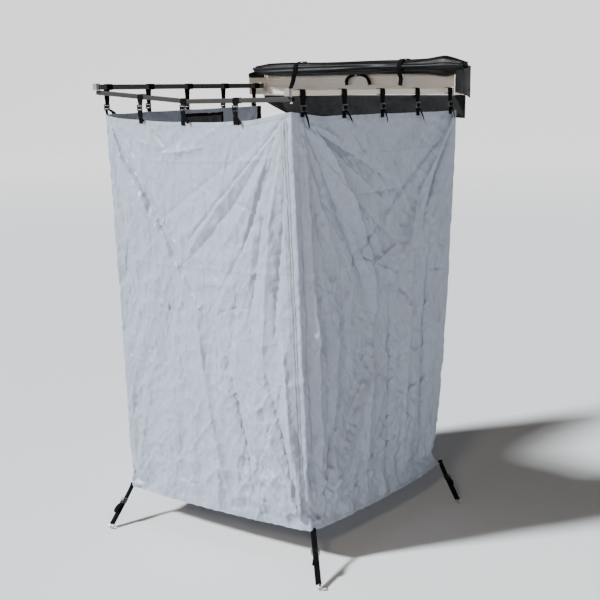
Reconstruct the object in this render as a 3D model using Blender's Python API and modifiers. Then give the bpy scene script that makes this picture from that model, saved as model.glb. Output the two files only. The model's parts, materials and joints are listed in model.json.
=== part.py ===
"""Privacy shower tent that hangs from a roof-rack casing, as separate named pieces.

Row frame, in metres: +Z is up, -Y points away from the vehicle, and +X runs along it towards the
right arm. The origin is on the rear face of the casing's back plate, at the height of the arms.
Two arms swing out of the casing, an outer rail in two halves joins their tips, and the fabric walls
hang on webbing straps from the arms and the rail.
"""

import math

import bmesh
import bpy
from mathutils import Matrix, Vector

# Driving dimensions
PLAN_WIDTH = 1.19
OUTER_LINE = 1.22
LEFT_LEVEL = 0.015
RIGHT_LEVEL = -0.015
RIGHT_PIVOT_Y = -0.050
LEFT_PIVOT_Y = -0.110
ARM_SIDE = 0.024
RAIL_SIDE = 0.020
TUBE_WALL = 0.0016
KNEE_SAG = 0.009
CASING_LENGTH = 1.32
CASING_LOW = -0.035
CASING_HIGH = 0.105
FLAP_HEIGHT = 0.100
WALL_TOP = -0.110
WALL_HEIGHT = 1.80
GROUND_DROP = 0.15
FABRIC_THICKNESS = 0.0016
WEBBING_WIDTH = 0.025
WEBBING_THICKNESS = 0.0012
BUCKLE_HEIGHT = -0.078
BOLT_RADIUS = 0.003
GAP = 0.0008

# Places that follow from them
SIDE_X = PLAN_WIDTH / 2
OUT_Y = -OUTER_LINE
ARM_HALF = ARM_SIDE / 2
RAIL_HALF = RAIL_SIDE / 2
LEVEL_GAP = 0.0035
KNEE_GAP = 0.002
RAIL_DROP = ARM_HALF + LEVEL_GAP + RAIL_HALF
KNEE_Z = RIGHT_LEVEL - RAIL_DROP - KNEE_SAG
WALL_BOTTOM = WALL_TOP - WALL_HEIGHT
CASING_HALF = CASING_LENGTH / 2
ARM_TIP_Y = OUT_Y - 0.012
EAR_THICKNESS = 0.002
EAR_REACH = 0.014

# Colours: red, green, blue, then roughness and metallic
BRONZE = (0.20, 0.18, 0.16, 0.42, 0.75)
CHAMPAGNE = (0.62, 0.55, 0.46, 0.38, 0.70)
PVC_BLACK = (0.03, 0.03, 0.032, 0.62, 0.0)
GREY_PLASTIC = (0.55, 0.56, 0.57, 0.48, 0.0)
BLACK_PLASTIC = (0.02, 0.02, 0.022, 0.45, 0.0)
WEBBING_BLACK = (0.025, 0.025, 0.028, 0.85, 0.0)
STEEL = (0.60, 0.60, 0.62, 0.30, 1.0)
SILVER_FABRIC = (0.62, 0.64, 0.67, 0.55, 0.0)

PARTS = "privacy_shower_tent"
CUTTERS = "cutters"


# ---------------------------------------------------------------- scene and materials
def clear_scene():
    for obj in list(bpy.data.objects):
        bpy.data.objects.remove(obj, do_unlink=True)
    for name in (PARTS, CUTTERS):
        if name not in bpy.data.collections:
            bpy.context.scene.collection.children.link(bpy.data.collections.new(name))


def material(name, finish):
    red, green, blue, roughness, metallic = finish
    made = bpy.data.materials.new(name)
    made.use_nodes = True
    shader = made.node_tree.nodes["Principled BSDF"]
    shader.inputs["Base Color"].default_value = (red, green, blue, 1.0)
    shader.inputs["Roughness"].default_value = roughness
    shader.inputs["Metallic"].default_value = metallic
    return made


def finish_mesh(mesh, bm):
    bmesh.ops.recalc_face_normals(bm, faces=bm.faces)
    bm.to_mesh(mesh)
    bm.free()


def add_mesh(name, bm, finish, origin=(0, 0, 0)):
    """A new object from a bmesh in world coordinates, with its origin moved to a given point."""
    bmesh.ops.translate(bm, verts=bm.verts, vec=-Vector(origin))
    mesh = bpy.data.meshes.new(name)
    finish_mesh(mesh, bm)
    obj = bpy.data.objects.new(name, mesh)
    obj.location = origin
    obj.data.materials.append(material(name, finish))
    bpy.data.collections[PARTS].objects.link(obj)
    return obj


# ---------------------------------------------------------------- shapes
def box_bm(low, high):
    bm = bmesh.new()
    size = Vector(high) - Vector(low)
    middle = (Vector(high) + Vector(low)) / 2
    bmesh.ops.create_cube(bm, size=1.0)
    bmesh.ops.scale(bm, verts=bm.verts, vec=size)
    bmesh.ops.translate(bm, verts=bm.verts, vec=middle)
    return bm


def rod_bm(radius, start, end, segments=20):
    """A cylinder between two points."""
    bm = bmesh.new()
    along = Vector(end) - Vector(start)
    turn = Vector((0, 0, 1)).rotation_difference(along).to_matrix().to_4x4()
    place = Matrix.Translation((Vector(start) + Vector(end)) / 2) @ turn
    bmesh.ops.create_cone(
        bm,
        cap_ends=True,
        segments=segments,
        radius1=radius,
        radius2=radius,
        depth=along.length,
        matrix=place,
    )
    return bm


def cutter(name, bm):
    obj = bpy.data.objects.new(name, bpy.data.meshes.new(name))
    finish_mesh(obj.data, bm)
    obj.hide_render = True
    obj.display_type = "WIRE"
    bpy.data.collections[CUTTERS].objects.link(obj)
    return obj


def boolean(obj, other, operation):
    step = obj.modifiers.new(operation.lower(), "BOOLEAN")
    step.operation = operation
    step.object = other
    step.solver = "EXACT"


def soften(obj, width, segments=2):
    step = obj.modifiers.new("rounded_edges", "BEVEL")
    step.width = width
    step.segments = segments
    step.limit_method = "ANGLE"


def solidify(obj, thickness):
    step = obj.modifiers.new("thickness", "SOLIDIFY")
    step.thickness = thickness
    step.offset = 0.0
    step.use_even_offset = True


def rounded_square(half, radius, steps=3):
    """Corner points of a square with rounded corners, counter-clockwise."""
    points = []
    for corner in range(4):
        base = corner * math.pi / 2
        centre = Vector((half - radius, half - radius))
        for step in range(steps + 1):
            angle = step / steps * math.pi / 2
            point = centre + radius * Vector((math.cos(angle), math.sin(angle)))
            points.append(Matrix.Rotation(base, 2) @ point)
    return points


def tube_bm(side, route):
    """A square tube with rounded corners and both ends open, along a route with no twist."""
    bm = bmesh.new()
    outer = rounded_square(side / 2, side * 0.14)
    inner = rounded_square(side / 2 - TUBE_WALL, side * 0.10)
    rings = []
    for number, point in enumerate(route):
        before = route[max(number - 1, 0)]
        after = route[min(number + 1, len(route) - 1)]
        along = (Vector(after) - Vector(before)).normalized()
        across = along.cross(Vector((0, 0, 1))).normalized()
        up = across.cross(along)
        pair = []
        for outline in (outer, inner):
            pair.append([bm.verts.new(Vector(point) + across * p.x + up * p.y) for p in outline])
        rings.append(pair)
    count = len(outer)
    for first, second in zip(rings, rings[1:]):
        for layer in (0, 1):
            for i in range(count):
                j = (i + 1) % count
                bm.faces.new((first[layer][i], first[layer][j], second[layer][j], second[layer][i]))
    for ring in (rings[0], rings[-1]):
        for i in range(count):
            j = (i + 1) % count
            bm.faces.new((ring[0][i], ring[0][j], ring[1][j], ring[1][i]))
    return bm


def ribbon_bm(route, half_width):
    """A strip through the route's points; half_width is the vector to one of its edges."""
    bm = bmesh.new()
    side = Vector(half_width)
    pairs = [(bm.verts.new(Vector(p) - side), bm.verts.new(Vector(p) + side)) for p in route]
    for (a, b), (c, d) in zip(pairs, pairs[1:]):
        bm.faces.new((a, b, d, c))
    return bm


def panel_bm(top_start, top_end, bottom_start, bottom_end, columns=4, rows=6):
    """A four-sided sheet that is straight along its edges and may be twisted between them."""
    bm = bmesh.new()
    grid = []
    for row in range(rows + 1):
        down = row / rows
        start = Vector(top_start).lerp(Vector(bottom_start), down)
        end = Vector(top_end).lerp(Vector(bottom_end), down)
        grid.append([bm.verts.new(start.lerp(end, c / columns)) for c in range(columns + 1)])
    for upper, lower in zip(grid, grid[1:]):
        for c in range(columns):
            bm.faces.new((upper[c], upper[c + 1], lower[c + 1], lower[c]))
    return bm


def lathe_bm(profile, head, tip, segments=14):
    """A turned solid. The profile holds (radius, distance from the head towards the tip)."""
    bm = bmesh.new()
    axis = (Vector(tip) - Vector(head)).normalized()
    side = axis.orthogonal().normalized()
    other = axis.cross(side)
    rings = []
    for radius, along in profile:
        ring = []
        for i in range(segments):
            angle = 2 * math.pi * i / segments
            offset = side * math.cos(angle) + other * math.sin(angle)
            ring.append(bm.verts.new(Vector(head) + axis * along + offset * radius))
        rings.append(ring)
    for first, second in zip(rings, rings[1:]):
        for i in range(segments):
            j = (i + 1) % segments
            bm.faces.new((first[i], first[j], second[j], second[i]))
    bm.faces.new(rings[0])
    bm.faces.new(rings[-1])
    return bm


# ---------------------------------------------------------------- casing on the roof rack
def make_back_plate():
    """Aluminium extrusion with three shallow ribs along its outer face."""
    obj = add_mesh(
        "back_plate",
        box_bm((-CASING_HALF, -0.004, CASING_LOW), (CASING_HALF, 0.0, CASING_HIGH)),
        CHAMPAGNE,
    )
    for number, height in enumerate((-0.026, 0.004, 0.034, 0.056)):
        low = (-CASING_HALF, -0.0075, height - 0.004)
        high = (CASING_HALF, -0.0035, height + 0.004)
        boolean(obj, cutter(f"back_rib_{number}", box_bm(low, high)), "UNION")


def make_end_plate(name, side, pivot_y, level):
    """End plate of the casing with two ears that hold an arm's pivot bolt."""
    outer = side * CASING_HALF
    inner = side * (CASING_HALF - 0.003)
    low_x, high_x = sorted((outer, inner))
    plate = box_bm((low_x, -0.132, -0.0310), (high_x, -0.0079, 0.058))
    obj = add_mesh(name, plate, CHAMPAGNE)
    for number, face in enumerate((level + ARM_HALF + GAP, level - ARM_HALF - GAP - EAR_THICKNESS)):
        near_x, far_x = sorted((side * (SIDE_X - EAR_REACH), side * (CASING_HALF - 0.001)))
        low = (near_x, pivot_y - EAR_REACH, face)
        high = (far_x, pivot_y + EAR_REACH, face + EAR_THICKNESS)
        boolean(obj, cutter(f"{name}_ear_{number}", box_bm(low, high)), "UNION")
    pivot = Vector((side * SIDE_X, pivot_y, 0))
    bore = rod_bm(BOLT_RADIUS + 0.0002, pivot - Vector((0, 0, 0.05)), pivot + Vector((0, 0, 0.05)))
    boolean(obj, cutter(f"{name}_bore", bore), "DIFFERENCE")


def make_cover_roll():
    """The rolled cover above the casing, fuller at its right end where the spare cloth is tucked."""
    stations = 22
    sides = 20
    bm = bmesh.new()
    rings = []
    for s in range(stations + 1):
        along = s / stations
        x = -CASING_HALF + 0.004 + along * (CASING_LENGTH + 0.004)
        end_fade = min(1.0, 0.55 + 9.0 * min(along, 1.0 - along))
        bulge = 0.012 * math.exp(-(((along - 0.93) / 0.06) ** 2))
        depth = 0.055 * end_fade + bulge * 0.4
        height = (0.033 + 0.003 * math.sin(9.0 * along)) * end_fade + bulge
        ring = []
        for i in range(sides):
            angle = 2 * math.pi * i / sides
            y = -0.068 + depth * math.cos(angle)
            z = 0.0985 + height * math.sin(angle)
            ring.append(bm.verts.new((x, y, z)))
        rings.append(ring)
    for first, second in zip(rings, rings[1:]):
        for i in range(sides):
            j = (i + 1) % sides
            bm.faces.new((first[i], first[j], second[j], second[i]))
    bm.faces.new(rings[0])
    bm.faces.new(rings[-1])
    add_mesh("cover_roll", bm, PVC_BLACK)


def make_cover_flap():
    """The cover's lower half, a sheet that hangs from the casing's lower edge."""
    top = (CASING_HALF - 0.010, -0.0185, CASING_LOW - 0.0010)
    route = []
    for step in range(5):
        drop = step / 4
        sway = 0.006 * math.sin(math.pi * drop)
        route.append((0, top[1] - sway, top[2] - drop * FLAP_HEIGHT))
    obj = add_mesh("cover_flap", ribbon_bm(route, (top[0], 0, 0)), PVC_BLACK)
    solidify(obj, FABRIC_THICKNESS)


def make_carry_handle():
    """A moulded grab handle: two feet on the back plate and a bar between them."""
    obj = add_mesh("carry_handle", box_bm((-0.062, -0.034, 0.036), (0.062, -0.0260, 0.052)), BLACK_PLASTIC)
    for number, x in enumerate((-0.054, 0.054)):
        foot = box_bm((x - 0.008, -0.0275, 0.037), (x + 0.008, -0.0079, 0.051))
        boolean(obj, cutter(f"handle_foot_{number}", foot), "UNION")


def make_casing():
    make_back_plate()
    make_end_plate("end_plate_left", -1, LEFT_PIVOT_Y, LEFT_LEVEL)
    make_end_plate("end_plate_right", 1, RIGHT_PIVOT_Y, RIGHT_LEVEL)
    make_cover_roll()
    make_cover_flap()
    make_carry_handle()


# ---------------------------------------------------------------- arms, rail and bolts
def make_arm(side_name, side, pivot_y, level, finish):
    """A square tube from its pivot in the casing to its tip, with a plastic cap in the end."""
    x = side * SIDE_X
    pivot = Vector((x, pivot_y, level))
    start = (x, pivot_y + ARM_HALF, level)
    end = (x, ARM_TIP_Y, level)
    obj = add_mesh(f"{side_name}_arm_tube", tube_bm(ARM_SIDE, (start, end)), finish, pivot)
    for label, y in (("pivot", pivot_y), ("tip", OUT_Y)):
        down = Vector((x, y, level - 0.05))
        bore = rod_bm(BOLT_RADIUS + 0.0002, down, down + Vector((0, 0, 0.1)))
        boolean(obj, cutter(f"{side_name}_arm_{label}_bore", bore), "DIFFERENCE")
    make_arm_cap(f"{side_name}_arm_cap", x, level, pivot)


def make_arm_cap(name, x, level, pivot):
    """A moulded cap: a plug that enters the tube and a flange that closes it."""
    flange = box_bm(
        (x - 0.0135, ARM_TIP_Y - 0.0160, level - 0.0134), (x + 0.0135, ARM_TIP_Y - GAP, level + 0.0168)
    )
    obj = add_mesh(name, flange, GREY_PLASTIC, pivot)
    plug_half = ARM_HALF - TUBE_WALL - 0.0014
    plug = box_bm(
        (x - plug_half, ARM_TIP_Y - 0.001, level - plug_half),
        (x + plug_half, ARM_TIP_Y + 0.0060, level + plug_half),
    )
    boolean(obj, cutter(f"{name}_plug", plug), "UNION")
    soften(obj, 0.0012)


def rail_height(x):
    """Height of the rail's centre line: it runs straight from each arm's tip to the knee."""
    tip = (RIGHT_LEVEL if x > 0 else LEFT_LEVEL) - RAIL_DROP
    return KNEE_Z + (tip - KNEE_Z) * abs(x) / SIDE_X


def make_rail(name, side):
    """One half of the outer rail, from under an arm's tip to the knee at mid span."""
    tip_x = side * (SIDE_X + 0.012)
    knee_x = side * KNEE_GAP / 2
    route = ((tip_x, OUT_Y, rail_height(tip_x)), (knee_x, OUT_Y, rail_height(knee_x)))
    pivot = Vector((side * SIDE_X, OUT_Y, 0))
    obj = add_mesh(name, tube_bm(RAIL_SIDE, route), BRONZE, pivot)
    down = Vector((side * SIDE_X, OUT_Y, -0.08))
    bore = rod_bm(BOLT_RADIUS + 0.0004, down, down + Vector((0, 0, 0.12)))
    boolean(obj, cutter(f"{name}_bore", bore), "DIFFERENCE")


def make_bolt(name, x, y, low, high):
    """A pivot bolt with a domed head above and a nut below."""
    head = (x, y, high + 0.0040)
    tip = (x, y, low - 0.0050)
    span = head[2] - tip[2]
    profile = (
        (0.0035, 0.0),
        (0.0055, 0.0010),
        (0.0055, 0.0036),
        (BOLT_RADIUS, 0.0036),
        (BOLT_RADIUS, span - 0.0046),
        (0.0055, span - 0.0046),
        (0.0055, span),
    )
    add_mesh(name, lathe_bm(profile, head, tip), STEEL, (x, y, 0))


def make_frame():
    make_arm("left", -1, LEFT_PIVOT_Y, LEFT_LEVEL, BRONZE)
    make_arm("right", 1, RIGHT_PIVOT_Y, RIGHT_LEVEL, CHAMPAGNE)
    make_rail("left_rail", -1)
    make_rail("right_rail", 1)
    ear_out = ARM_HALF + GAP + EAR_THICKNESS + GAP
    tip_out = ARM_HALF + GAP
    rail_out = RAIL_DROP + RAIL_HALF + 0.0020
    for name, side, pivot_y, level in (
        ("left", -1, LEFT_PIVOT_Y, LEFT_LEVEL),
        ("right", 1, RIGHT_PIVOT_Y, RIGHT_LEVEL),
    ):
        x = side * SIDE_X
        make_bolt(f"{name}_pivot_bolt", x, pivot_y, level - ear_out, level + ear_out)
        make_bolt(f"{name}_corner_bolt", x, OUT_Y, level - rail_out, level + tip_out)


# ---------------------------------------------------------------- straps and buckles
def strap_places():
    """(name, point on the tube's centre line, outward direction, half side, rise to its edge)."""
    places = []
    for number, y in enumerate((-1.165, -0.905, -0.645, -0.385, -0.150)):
        centre = Vector((-SIDE_X, y, LEFT_LEVEL))
        places.append((f"left_{number + 1}", centre, Vector((-1, 0, 0)), ARM_HALF, 0.0))
    for number, y in enumerate((-1.165, -0.897, -0.629, -0.361, -0.092)):
        centre = Vector((SIDE_X, y, RIGHT_LEVEL))
        places.append((f"right_{number + 1}", centre, Vector((1, 0, 0)), ARM_HALF, 0.0))
    for number, x in enumerate((-SIDE_X / 2, -0.018, SIDE_X / 2)):
        centre = Vector((x, OUT_Y, rail_height(x)))
        lift = abs(rail_height(x + WEBBING_WIDTH / 2) - rail_height(x - WEBBING_WIDTH / 2)) / 2
        places.append((f"rail_{number + 1}", centre, Vector((0, -1, 0)), RAIL_HALF, lift))
    return places


def make_strap(name, centre, outward, half, lift):
    """Webbing over a tube: up its inner side, over the top and down its outer side to the wall."""
    clear = half + GAP + WEBBING_THICKNESS / 2
    curve = clear * 0.75
    route = []
    loop = ((-clear, -half * 0.6), (-clear, curve), (-curve, clear), (curve, clear), (clear, curve))
    for across, up in loop:
        route.append(centre + outward * across + Vector((0, 0, up + lift)))
    foot = centre + outward * clear
    route.append(Vector((foot.x, foot.y, WALL_TOP + 0.002)))
    along = outward.cross(Vector((0, 0, 1)))
    obj = add_mesh(f"strap_{name}", ribbon_bm(route, along * WEBBING_WIDTH / 2), WEBBING_BLACK)
    solidify(obj, WEBBING_THICKNESS)


def make_buckle(name, centre, outward, half):
    """Ladder-lock buckle: a moulded frame with two slots, lying on the strap's outer side."""
    face = half + GAP + WEBBING_THICKNESS + GAP
    along = outward.cross(Vector((0, 0, 1)))
    middle = centre + outward * (face + 0.0025)
    middle.z = BUCKLE_HEIGHT

    def block(half_along, half_out, low, high):
        bm = box_bm((-half_along, -half_out, low), (half_along, half_out, high))
        turn = Matrix((along, outward, Vector((0, 0, 1)))).transposed().to_4x4()
        bmesh.ops.transform(bm, matrix=Matrix.Translation(middle) @ turn, verts=bm.verts)
        return bm

    obj = add_mesh(f"buckle_{name}", block(0.016, 0.0025, -0.014, 0.014), BLACK_PLASTIC)
    for number, height in enumerate((-0.0065, 0.0065)):
        slot = block(0.0128, 0.004, height - 0.0027, height + 0.0027)
        boolean(obj, cutter(f"buckle_{name}_slot_{number}", slot), "DIFFERENCE")


# ---------------------------------------------------------------- fabric walls
HANG = ARM_HALF + GAP + WEBBING_THICKNESS / 2
RAIL_HANG = RAIL_HALF + GAP + WEBBING_THICKNESS / 2
CORNER_GAP = 0.006
TOP_A = Vector((-SIDE_X - HANG, OUT_Y - RAIL_HANG, WALL_TOP))
TOP_B = Vector((SIDE_X + HANG, OUT_Y - RAIL_HANG, WALL_TOP))
TOP_C = Vector((SIDE_X + HANG, -0.030, WALL_TOP))
TOP_D = Vector((-SIDE_X - HANG, -0.090, WALL_TOP))
LOW_A = Vector((-0.455, -1.240, WALL_BOTTOM))
LOW_B = Vector((0.590, -1.100, WALL_BOTTOM))
LOW_C = Vector((0.535, -0.010, WALL_BOTTOM))
LOW_D = Vector((-0.590, -0.080, WALL_BOTTOM))


def make_wall(name, tops, lows):
    """One fabric wall, stopping a few millimetres short of the corners it shares."""
    trimmed = []
    for start, end in (tops, lows):
        inset = (end - start).normalized() * CORNER_GAP
        trimmed += [start + inset, end - inset]
    obj = add_mesh(name, panel_bm(*trimmed), SILVER_FABRIC)
    solidify(obj, FABRIC_THICKNESS)


def make_walls():
    top_middle = TOP_A.lerp(TOP_B, 0.5)
    low_middle = LOW_A.lerp(LOW_B, 0.5)
    make_wall("outer_wall_left", (TOP_A, top_middle), (LOW_A, low_middle))
    make_wall("outer_wall_right", (top_middle, TOP_B), (low_middle, LOW_B))
    make_wall("right_wall", (TOP_B, TOP_C), (LOW_B, LOW_C))
    make_wall("left_wall", (TOP_A, TOP_D), (LOW_A, LOW_D))


def make_zip_slider():
    """Slider of the door's zip, near the foot of the outer wall's right edge."""
    foot = LOW_B.lerp(TOP_B, 0.06)
    inward = (LOW_A - LOW_B).normalized() * 0.045
    rise = (TOP_B - LOW_B).normalized()
    outward = inward.normalized().cross(rise)
    if outward.y > 0:
        outward = -outward
    centre = foot + inward + outward * 0.0075
    bm = box_bm((-0.006, -0.0030, -0.012), (0.006, 0.0030, 0.012))
    turn = Matrix((-inward.normalized(), outward, rise)).transposed().to_4x4()
    bmesh.ops.transform(bm, matrix=Matrix.Translation(centre) @ turn, verts=bm.verts)
    obj = add_mesh("zip_slider", bm, STEEL, centre)
    soften(obj, 0.0008)


# ---------------------------------------------------------------- ground straps, rings and pegs
ANCHORS = (
    ("a", LOW_A, Vector((0.030, -0.150, 0))),
    ("b", LOW_B, Vector((0.160, -0.155, 0))),
    ("c", LOW_C, Vector((0.145, -0.065, 0))),
    ("d", LOW_D, Vector((-0.150, 0.020, 0))),
)
RING_RADIUS = 0.0150
RING_WIRE = 0.0020
PEG_RADIUS = 0.0030
PEG_LENGTH = 0.180


def make_anchor(letter, corner, spread):
    """A ground strap from a wall's bottom corner, the ring on its end and the peg through it."""
    outward = spread.normalized()
    side = outward.cross(Vector((0, 0, 1)))
    start = corner + outward * 0.004 - Vector((0, 0, 0.003))
    end = corner + spread + Vector((0, 0, -GROUND_DROP + 0.018))
    along = (end - start).normalized()
    strap = add_mesh(
        f"ground_strap_{letter}", ribbon_bm((start, end), side * WEBBING_WIDTH / 2), WEBBING_BLACK
    )
    solidify(strap, WEBBING_THICKNESS)
    hinge = end + along * 0.0030
    ring_centre = hinge + along * RING_RADIUS
    normal = side.cross(along).normalized()
    make_ring(f"ground_ring_{letter}", hinge, ring_centre, along, side, normal)
    shaft = ring_centre + along * 0.0060
    down = normal if normal.z < 0 else -normal
    head = shaft - down * 0.018
    profile = (
        (0.0060, 0.0),
        (0.0080, 0.0012),
        (0.0080, 0.0040),
        (PEG_RADIUS, 0.0040),
        (PEG_RADIUS, PEG_LENGTH - 0.02),
        (0.0006, PEG_LENGTH),
    )
    tip = head + down * PEG_LENGTH
    add_mesh(f"ground_peg_{letter}", lathe_bm(profile, head, tip), STEEL, shaft)


def make_ring(name, hinge, centre, along, side, normal):
    """A round wire ring; its near side is the hinge in the strap's end loop."""
    bm = bmesh.new()
    around = 24
    tube = 8
    rings = []
    for i in range(around):
        angle = 2 * math.pi * i / around
        outward = along * math.cos(angle) + side * math.sin(angle)
        ring = []
        for k in range(tube):
            turn = 2 * math.pi * k / tube
            offset = outward * (RING_RADIUS + RING_WIRE * math.cos(turn))
            ring.append(bm.verts.new(centre + offset + normal * RING_WIRE * math.sin(turn)))
        rings.append(ring)
    for i in range(around):
        first, second = rings[i], rings[(i + 1) % around]
        for k in range(tube):
            m = (k + 1) % tube
            bm.faces.new((first[k], first[m], second[m], second[k]))
    add_mesh(name, bm, STEEL, hinge)


# ---------------------------------------------------------------- the whole tent
clear_scene()
make_casing()
make_frame()
for strap_name, tube_centre, outward_side, half_side, edge_lift in strap_places():
    make_strap(strap_name, tube_centre, outward_side, half_side, edge_lift)
    make_buckle(strap_name, tube_centre, outward_side, half_side)
make_walls()
make_zip_slider()
for anchor in ANCHORS:
    make_anchor(*anchor)
for shown in bpy.data.collections[PARTS].objects:
    shown.data.shade_smooth()
    shown.data.set_sharp_from_angle(angle=math.radians(35))
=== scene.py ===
"""Looks of the privacy shower tent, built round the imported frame.

The fabric is one skirt of three walls, hung and pulled by cloth simulation and then split where the
frame folds. Webbing, hems, cover, ties and small trim are modelled here; tubes, plates, bolts, caps,
buckles, rings and pegs are the CAD's own pieces with better materials.
"""

import json
import math
import random

import bmesh
import bpy
import numpy as np
from mathutils import Matrix, Vector


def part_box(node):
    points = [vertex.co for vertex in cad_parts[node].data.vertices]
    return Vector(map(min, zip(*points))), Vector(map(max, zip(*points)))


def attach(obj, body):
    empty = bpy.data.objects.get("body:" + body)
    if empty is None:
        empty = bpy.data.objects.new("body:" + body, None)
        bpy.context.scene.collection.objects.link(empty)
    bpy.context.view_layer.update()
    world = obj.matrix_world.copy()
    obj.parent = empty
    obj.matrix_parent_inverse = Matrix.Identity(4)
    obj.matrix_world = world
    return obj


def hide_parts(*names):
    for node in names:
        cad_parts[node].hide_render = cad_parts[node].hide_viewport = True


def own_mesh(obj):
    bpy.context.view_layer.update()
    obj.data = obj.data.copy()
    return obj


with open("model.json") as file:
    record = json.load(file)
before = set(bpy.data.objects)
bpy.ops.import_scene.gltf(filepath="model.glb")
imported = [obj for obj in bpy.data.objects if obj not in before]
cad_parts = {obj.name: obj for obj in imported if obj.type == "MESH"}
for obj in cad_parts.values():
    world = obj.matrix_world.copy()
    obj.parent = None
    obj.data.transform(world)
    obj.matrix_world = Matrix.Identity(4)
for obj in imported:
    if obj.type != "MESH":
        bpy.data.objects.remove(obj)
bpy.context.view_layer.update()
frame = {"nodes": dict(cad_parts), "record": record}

# ---------------------------------------------------------------- camera and driving values
CAMERA_PLACE = (3.459, -4.498, 0.012)
CAMERA_YAW = math.radians(40.79)
CAMERA_PITCH = math.radians(-11.23)
CAMERA_ROLL = math.radians(-0.54)
CAMERA_LENS = 64.7

WEB_WIDTH = 0.025
WEB_THICK = 0.0013
HEM_WIDTH = 0.022
PANEL_COLUMNS = 60
PANEL_ROWS = 90
SIM_FRAMES = 40
FABRIC_SLACK = -0.006

UP = Vector((0, 0, 1))
RIBBON_STEPS = 4
RAIL_HALF = 0.010
HEM_THICK = 0.0022
EDGE_TAPE_COLUMNS = 8
BAND_UV_STEP = 0.007
THREAD_HALF = 0.0005
COVER_LEVEL = 0.0985
COVER_THICK = 0.0016
FLOOR_GREY = (0.64, 0.64, 0.64)

# how the skirt's edges leave the straight lines between its corners, in metres
RAIL_SAG = 0.027
CORNER_RISE = 0.020
CORNER_TUCK = 0.060
LEFT_RISE = 0.018
EDGE_BOW = 0.082
EDGE_FLARE = 0.06


# ---------------------------------------------------------------- node helpers
class Nodes:
    """A short way to write a material's node tree."""

    def __init__(self, name, color, roughness, metallic=0.0, **constants):
        self.material = bpy.data.materials.new(name)
        self.material.use_nodes = True
        self.tree = self.material.node_tree
        self.shader = self.tree.nodes["Principled BSDF"]
        self.set(self.shader, "Base Color", (*color, 1.0))
        self.set(self.shader, "Roughness", roughness)
        self.set(self.shader, "Metallic", metallic)
        for key, value in constants.items():
            self.set(self.shader, key.replace("_", " "), value)
        self.material.diffuse_color = (*color, 1.0)

    def spread(self, source, out, low, high):
        """A value from 0 to 1, spread between low and high."""
        node = self.add("MapRange")
        self.link(source, out, node, "Value")
        self.set(node, "To Min", low)
        self.set(node, "To Max", high)
        return node.outputs["Result"]

    def set(self, node, socket, value):
        node.inputs[socket].default_value = value

    def add(self, kind, **values):
        node = self.tree.nodes.new(f"ShaderNode{kind}")
        for key, value in values.items():
            if key in node.bl_rna.properties:
                setattr(node, key, value)
            else:
                name = key.replace("_", " ")
                node.inputs[name].default_value = value
        return node

    def link(self, start, out, end, into):
        self.tree.links.new(start.outputs[out], end.inputs[into])

    def math(self, operation, first, second):
        node = self.tree.nodes.new("ShaderNodeMath")
        node.operation = operation
        for slot, value in enumerate((first, second)):
            if isinstance(value, tuple):
                self.tree.links.new(value[0].outputs[value[1]], node.inputs[slot])
            else:
                node.inputs[slot].default_value = value
        return node

    def coords(self, kind="Object", scale=(1, 1, 1), turn=(0, 0, 0)):
        source = self.add("TexCoord")
        mapping = self.add("Mapping")
        self.set(mapping, "Scale", scale)
        self.set(mapping, "Rotation", turn)
        self.link(source, kind, mapping, "Vector")
        return mapping

    def noise(self, where, scale, detail=3.0, rough=0.5, distortion=0.0):
        node = self.add("TexNoise")
        self.set(node, "Scale", scale)
        self.set(node, "Detail", detail)
        self.set(node, "Roughness", rough)
        self.set(node, "Distortion", distortion)
        self.link(where, "Vector", node, "Vector")
        return node

    def voronoi(self, where, scale, feature="F1", randomness=1.0):
        node = self.add("TexVoronoi", feature=feature)
        self.set(node, "Scale", scale)
        self.set(node, "Randomness", randomness)
        self.link(where, "Vector", node, "Vector")
        return node

    def wave(self, where, scale, direction="X", profile="SIN", distortion=0.0):
        node = self.add("TexWave", bands_direction=direction, wave_profile=profile)
        self.set(node, "Scale", scale)
        self.set(node, "Distortion", distortion)
        self.link(where, "Vector", node, "Vector")
        return node

    def ramp(self, source, out, stops):
        node = self.add("ValToRGB")
        elements = node.color_ramp.elements
        while len(elements) < len(stops):
            elements.new(0.5)
        for element, (place, value) in zip(elements, stops):
            element.position = place
            element.color = (*value, 1.0) if isinstance(value, tuple) else (value, value, value, 1.0)
        self.link(source, out, node, "Fac")
        return node

    def bump(self, source, out, strength, distance, before=None):
        node = self.add("Bump")
        self.set(node, "Strength", strength)
        self.set(node, "Distance", distance)
        self.link(source, out, node, "Height")
        if before is not None:
            self.link(before, "Normal", node, "Normal")
        return node

    def mix_color(self, factor, out, first, second):
        node = self.add("Mix", data_type="RGBA")
        self.tree.links.new(factor.outputs[out], node.inputs[0])
        for slot, value in ((6, first), (7, second)):
            if isinstance(value, tuple) and len(value) == 3:
                node.inputs[slot].default_value = (*value, 1.0)
            else:
                self.tree.links.new(value, node.inputs[slot])
        return node.outputs[2]

    def done(self, normal=None, color=None, roughness=None):
        if normal is not None:
            self.link(normal, "Normal", self.shader, "Normal")
        if color is not None:
            self.tree.links.new(color, self.shader.inputs["Base Color"])
        if roughness is not None:
            self.tree.links.new(roughness, self.shader.inputs["Roughness"])
        return self.material


def shade(color, factor):
    """A colour made darker or lighter."""
    return tuple(min(1.0, c * factor) for c in color)


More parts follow.
